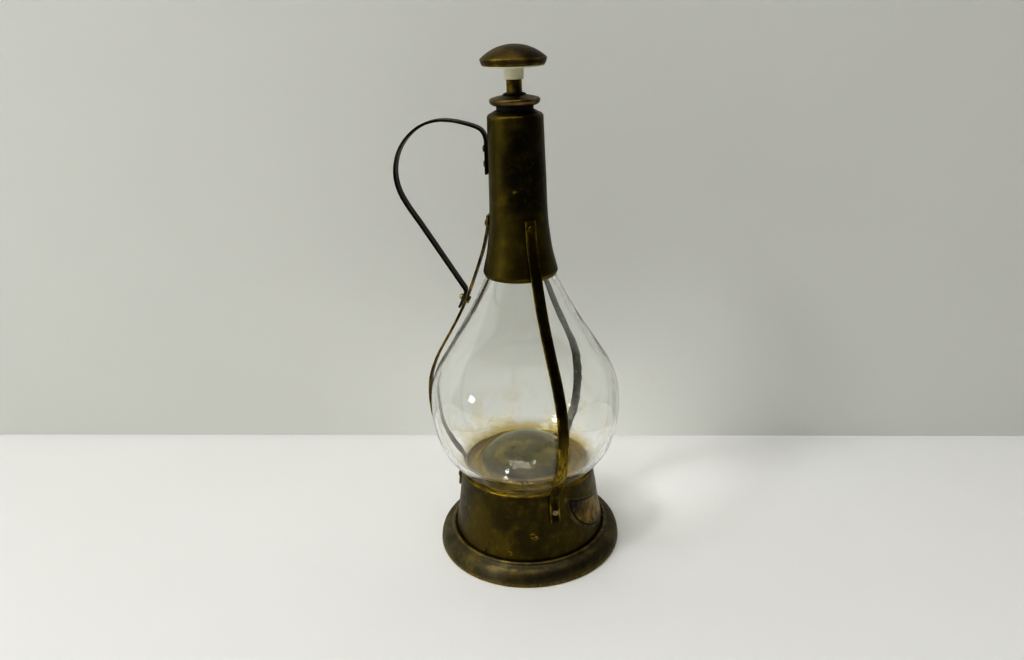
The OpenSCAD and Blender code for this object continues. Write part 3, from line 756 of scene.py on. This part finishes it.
def bent_strip(node, name, material):
    """A brass strip swept again along the frame's own path, with rounded, slightly dinged edges."""
    path, width, thickness = strip_path(node)
    path = resampled(path, step=0.9, passes=6)
    corner = 0.38
    section = strip_section(width, thickness, corner)
    spin = Matrix.Rotation(heading_of(node), 3, "Z")
    bm = bmesh.new()
    layer = bm.verts.layers.float.new("edge")
    rings = []
    # each end is rounded by three rings, given as how far on they are and how far in
    ends = [(0.0, corner), (0.3 * corner, 0.3 * corner), (corner, 0.0)]
    last = len(path) - 1
    stations = ([(0, advance, inset) for advance, inset in ends]
                + [(i, 0.0, 0.0) for i in range(1, last)]
                + [(last, -advance, inset) for advance, inset in reversed(ends)])
    for i, advance, inset in stations:
        along = (path[min(i + 1, last)] - path[max(i - 1, 0)]).normalized()
        out = Vector((-along.y, along.x))
        centre = path[i] + along * advance
        ring = []
        for across, through, edge in section:
            across -= math.copysign(min(inset, abs(across)), across)
            through -= math.copysign(min(inset, abs(through)), through)
            flat = centre + out * through
            place = spin @ Vector((flat.x, across, flat.y))
            inward = (spin @ Vector((-out.x * through, -across, -out.y * through))).normalized()
            vert = bm.verts.new((place + inward * wear_in(place, edge)) * MM)
            vert[layer] = edge if inset == 0 else 1.0
            ring.append(vert)
        rings.append(ring)
    count = len(section)
    for low, high in zip(rings, rings[1:]):
        for j in range(count):
            k = (j + 1) % count
            bm.faces.new((low[j], low[k], high[k], high[j]))
    bm.faces.new(rings[0])
    bm.faces.new(reversed(rings[-1]))
    return add_piece(name, bm, material, node)


def refined(node, name, material):
    """A node's own shape, with its flat faces made whole and its sharp edges rounded."""
    flat_angle = math.radians(0.4)
    sharp_angle = math.radians(40)
    bevel = 0.12
    worn = 0.6
    bm = welded(node)
    bmesh.ops.dissolve_limit(bm, angle_limit=flat_angle, verts=bm.verts, edges=bm.edges)
    sharp = [e for e in bm.edges if len(e.link_faces) == 2 and e.calc_face_angle(0) > sharp_angle]
    bmesh.ops.bevel(bm, geom=sharp, offset=bevel * MM, segments=2, profile=0.5, affect="EDGES",
                    clamp_overlap=True)
    layer = bm.verts.layers.float.new("edge")
    for vert in bm.verts:
        vert[layer] = worn
    return add_piece(name, bm, material, node)


def distance_to_rim(point, rim):
    """How far a flat point lies from the nearest side of a closed outline."""
    best = math.inf
    for a, b in zip(rim, rim[1:] + rim[:1]):
        side = b - a
        along = max(0, min(1, (point - a).dot(side) / side.length_squared))
        best = min(best, (a + side * along - point).length)
    return best


def radius_at(outline, height):
    """The outermost radius of a turned outline at a height."""
    best = 0
    for a, b in zip(outline, outline[1:] + outline[:1]):
        low, high = sorted((a, b), key=lambda p: p.y)
        if low.y <= height <= high.y and high.y > low.y:
            best = max(best, low.lerp(high, (height - low.y) / (high.y - low.y)).x)
    return best


def on_wall(node, azimuth, height):
    """A place on a turned node's outside; azimuth is 0 in front and runs towards +X, in degrees."""
    radius = radius_at(outline_of(node)[0], height)
    angle = math.radians(azimuth)
    return (radius * math.sin(angle), -radius * math.cos(angle), height)


def label_rim(node):
    """The way that a label faces, and its rim as seen from there, as (across, height)."""
    bm = welded(node)
    centre = sum((f.calc_center_median() * f.calc_area() for f in bm.faces), Vector())
    heading = math.atan2(centre.y, centre.x)
    bmesh.ops.rotate(bm, verts=bm.verts, matrix=Matrix.Rotation(-heading, 3, "Z"))
    bm.normal_update()
    # the foil's cut sides run straight back, so they face neither forwards nor backwards
    front = {f for f in bm.faces if f.normal.x > 0.1}
    around = [e for e in bm.edges if sum(f in front for f in e.link_faces) == 1]
    rim = [v.co.yz / MM for v in max(chains(around), key=len)]
    bm.free()
    return heading, rim


def flat_cells(rim):
    """A flat sheet within a rim, in the plane X = 0, cut both ways into small cells."""
    cell = 0.7
    bm = bmesh.new()
    bm.faces.new([bm.verts.new((0, p.x, p.y)) for p in rim])
    bmesh.ops.triangulate(bm, faces=bm.faces[:], ngon_method="EAR_CLIP")
    for axis in (1, 2):
        low = min(v.co[axis] for v in bm.verts)
        high = max(v.co[axis] for v in bm.verts)
        across = Vector((0, 0, 0))
        across[axis] = 1
        for k in range(1, int((high - low) / cell)):
            bmesh.ops.bisect_plane(bm, geom=bm.verts[:] + bm.edges[:] + bm.faces[:],
                                   plane_co=across * (low + k * cell), plane_no=across)
    return bm


def curved_label(node, wall_node, name, material):
    """A thin label laid on a turned wall, with a raised border and faint crinkles."""
    clearance = 0.03
    thickness = 0.16
    border_rise = 0.13
    crinkle = 0.05
    heading, rim = label_rim(node)
    wall, _ = outline_of(wall_node)
    bm = flat_cells(rim)
    distance = bm.verts.layers.float.new("rim_mm")
    for vert in bm.verts:
        vert[distance] = distance_to_rim(vert.co.yz, rim)
    raised = bmesh.ops.extrude_face_region(bm, geom=bm.faces[:])["geom"]
    front = {item for item in raised if isinstance(item, bmesh.types.BMVert)}
    spin = Matrix.Rotation(heading, 3, "Z")
    for vert in bm.verts:
        radius = radius_at(wall, vert.co.z) + clearance
        if vert in front:
            ridge = math.sin(math.pi * min(1, vert[distance] / LABEL_BORDER))
            radius += thickness + border_rise * ridge + crinkle * noise.noise(vert.co / 2.5)
        vert.co.x = math.sqrt(radius ** 2 - vert.co.y ** 2)
        vert.co = spin @ vert.co * MM
    return add_piece(name, bm, material, node)


# ---- Pieces ----

def flask_waves(place, normal):
    """Blown glass is never quite even; the inside is less even than the outside."""
    fade = 20
    calm = (min(1, max(0, (place.z - WAVES_FOOT) / fade))
            * min(1, max(0, (WAVES_TOP - place.z) / fade)))
    side = 1.0 if normal.x * place.x + normal.y * place.y > 0 else 2.2
    swell = noise.noise(place / 34 + Vector((3 * side, 1, 5)))
    ripple = noise.noise(place / 11 + Vector((11 * side, 4, 2)))
    return calm * side * (0.05 * swell + 0.012 * ripple)


def is_inside(point, normal):
    """Whether a point of the flask's outline is on its inner wall or its inner bottom."""
    on_wall_within = normal.x < 0 and point.y > INNER_WALL_FOOT
    on_bottom_within = normal.y > 0.3 and point.y < ABOVE_DOME
    return on_wall_within or on_bottom_within


def is_dome(point, normal):
    """How much a point belongs to the top of the hollow dome in the flask's bottom."""
    fade = 7
    if normal.y <= 0.2 or point.y >= ABOVE_DOME:
        return 0
    return min(1, max(0, (DOME_RADIUS - point.x) / fade))


def sheet_dents(place, normal):
    """Faint hand marks in spun sheet."""
    return 0.10 * noise.noise(place / 17 + Vector((5, 3, 1))) + 0.035 * noise.noise(place / 6)


def make_looks():
    """The brasses and plain metals by name; each brass has its dark, middle and golden colours."""
    skirt_scratches = [(on_wall("base_skirt", 12.6, 27), 3.2), (on_wall("base_skirt", 14.5, 26), 2.2),
                       (on_wall("base_skirt", -6, 15.5), 2.0)]
    sleeve_scratches = [(on_wall("neck_sleeve", 2.8, 228), 1.6)]
    return {
        "sleeve": aged_brass("sleeve_brass", (0.017, 0.013, 0.0028), (0.070, 0.054, 0.0075),
                             (0.27, 0.19, 0.022), brushing=(0.5, 0.5, 4), shift=1.0, grime=0.2,
                             marks=sleeve_scratches),
        "skirt": aged_brass("skirt_brass", (0.050, 0.039, 0.010), (0.096, 0.072, 0.014),
                            (0.36, 0.255, 0.035), brushing=(0.8, 0.8, 2), shift=5.0, grime=0.2,
                            marks=skirt_scratches),
        # the foot's golden bottom lip is worn brass and a painted highlight
        "foot": aged_brass("foot_brass", (0.066, 0.058, 0.034), (0.125, 0.112, 0.072),
                           (0.26, 0.19, 0.04), roughness=0.55, brushing=(0.5, 0.5, 1), shift=9.0,
                           wear_and_sheen=(1.2, 3.4)),
        "strip": aged_brass("strip_brass", (0.012, 0.010, 0.004), (0.036, 0.028, 0.007),
                            (0.26, 0.18, 0.025), roughness=0.36, brushing=(0.6, 0.6, 6),
                            shift=13.0),
        # the front strap's golden lower part is a painted reflection of the bright table
        "painted_sheen_strip": aged_brass("painted_sheen_strip_brass", (0.018, 0.014, 0.004), (0.060, 0.045, 0.007),
                                 (0.40, 0.28, 0.026), roughness=0.36, brushing=(0.6, 0.6, 6),
                                 shift=13.0, grime=0.12, wear_and_sheen=(66, 108), wear_and_sheen_foot=(44, 66)),
        # the rear strap, the same brass as the other straps, painted much darker: painted shade
        "shaded_strip": aged_brass("shaded_strip_brass", (0.004, 0.004, 0.003), (0.013, 0.012, 0.008),
                                 (0.12, 0.105, 0.07), roughness=0.5, brushing=(0.6, 0.6, 3),
                                 shift=15.0, grime=0.4),
        "handle": aged_brass("handle_brass", (0.007, 0.006, 0.003), (0.018, 0.016, 0.008),
                             (0.06, 0.048, 0.018), roughness=0.4, brushing=(6, 0.6, 2), shift=17.0),
        "knob": aged_brass("knob_brass", (0.020, 0.014, 0.005), (0.062, 0.041, 0.011),
                           (0.24, 0.165, 0.025), roughness=0.42, shift=21.0),
        "flange": aged_brass("flange_brass", (0.036, 0.025, 0.009), (0.090, 0.064, 0.022),
                             (0.30, 0.215, 0.085), roughness=0.38, shift=25.0),
        "rivets": aged_brass("rivet_brass", (0.06, 0.048, 0.026), (0.16, 0.13, 0.08),
                             (0.55, 0.48, 0.30), roughness=0.3, shift=29.0),
        "seat": aged_brass("seat_brass", (0.09, 0.065, 0.007), (0.20, 0.145, 0.015),
                           (0.36, 0.26, 0.03), roughness=0.34, shift=33.0),
        "steel": plain_metal("plated_steel", (0.56, 0.55, 0.52), (0.30, 0.28, 0.24), 0.34),
        "zinc": plain_metal("cast_zinc", (0.50, 0.50, 0.49), (0.34, 0.33, 0.31), 0.5, 3.0),
        "screw": plain_metal("dark_screw", (0.10, 0.09, 0.08), (0.04, 0.035, 0.03), 0.45, 5.0),
        "key": plain_metal("key_brass", (0.62, 0.50, 0.24), (0.36, 0.27, 0.11), 0.34, 7.0)}


def build_flask(window, pane):
    flask = turned("glass_flask", "blown_flask", clear_glass(), flask_waves, corner=0.4,
                   marks={"inside": is_inside, "dome": is_dome})
    flask.visible_shadow = False
    # the wide window would lay one broad streak on the glass; the small pane leaves a fleck
    link_light(window, flask, "EXCLUDE")
    link_light(pane, flask, "INCLUDE")


def build_shell(looks):
    turned("neck_sleeve", "spun_neck_sleeve", looks["sleeve"], sheet_dents)
    turned("base_skirt", "spun_base_skirt", looks["skirt"], sheet_dents)
    turned("foot_ring", "spun_foot_ring", looks["foot"])
    turned("flask_seat_ring", "spun_seat_ring", looks["seat"])
    curved_label("foil_label", "base_skirt", "stained_foil_label", foil())


def build_stopper(looks):
    black = rubber()
    turned("knob_cap", "spun_knob_cap", looks["knob"])
    turned("stopper_flange", "rolled_flange", looks["flange"])
    turned("stem_washer", "rubber_washer", black)
    turned("stopper_plug", "ribbed_rubber_plug", black)
    turned("stem_tube", "drawn_stem_tube", looks["sleeve"])
    turned("knob_core", "moulded_knob_core", ivory())


def build_cage(looks):
    """The three straps, the handle and their rivets."""
    bent_strip("front_strap", "front_cage_strap", looks["painted_sheen_strip"])
    # its brass is painted darker: painted shade
    bent_strip("rear_strap", "rear_cage_strap", looks["shaded_strip"])
    bent_strip("handle_strap", "handle_cage_strap", looks["strip"])
    bent_strip("carry_handle", "bent_carry_handle", looks["handle"])
    refined("strap_top_rivets", "strap_top_rivets_heads", looks["strip"])
    for node in ("strap_foot_rivets", "handle_top_rivets", "handle_low_rivet"):
        refined(node, node + "_heads", looks["rivets"])


def dress_kept_nodes(looks):
    """Gives a finish to the nodes that keep the frame's own mesh."""
    finish = {"stem_rod": "steel", "bottom_pan": "foot", "pan_screws": "screw",
              "movement_frame": "zinc", "frame_screws": "steel", "tuned_comb": "steel",
              "comb_screws": "steel", "governor_housing": "zinc", "spring_drum": "key",
              "winding_arbor": "steel", "winding_key": "key", "pinned_cylinder": "key",
              "stop_pin": "steel"}
    for node, look in finish.items():
        mesh = NODES[node].data
        mesh.materials.clear()
        mesh.materials.append(looks[look])


add_camera()
set_tones()
window_light, pane_light = add_lights()
add_room()
add_stage()
finishes = make_looks()
build_flask(window_light, pane_light)
build_shell(finishes)
build_stopper(finishes)
build_cage(finishes)
dress_kept_nodes(finishes)
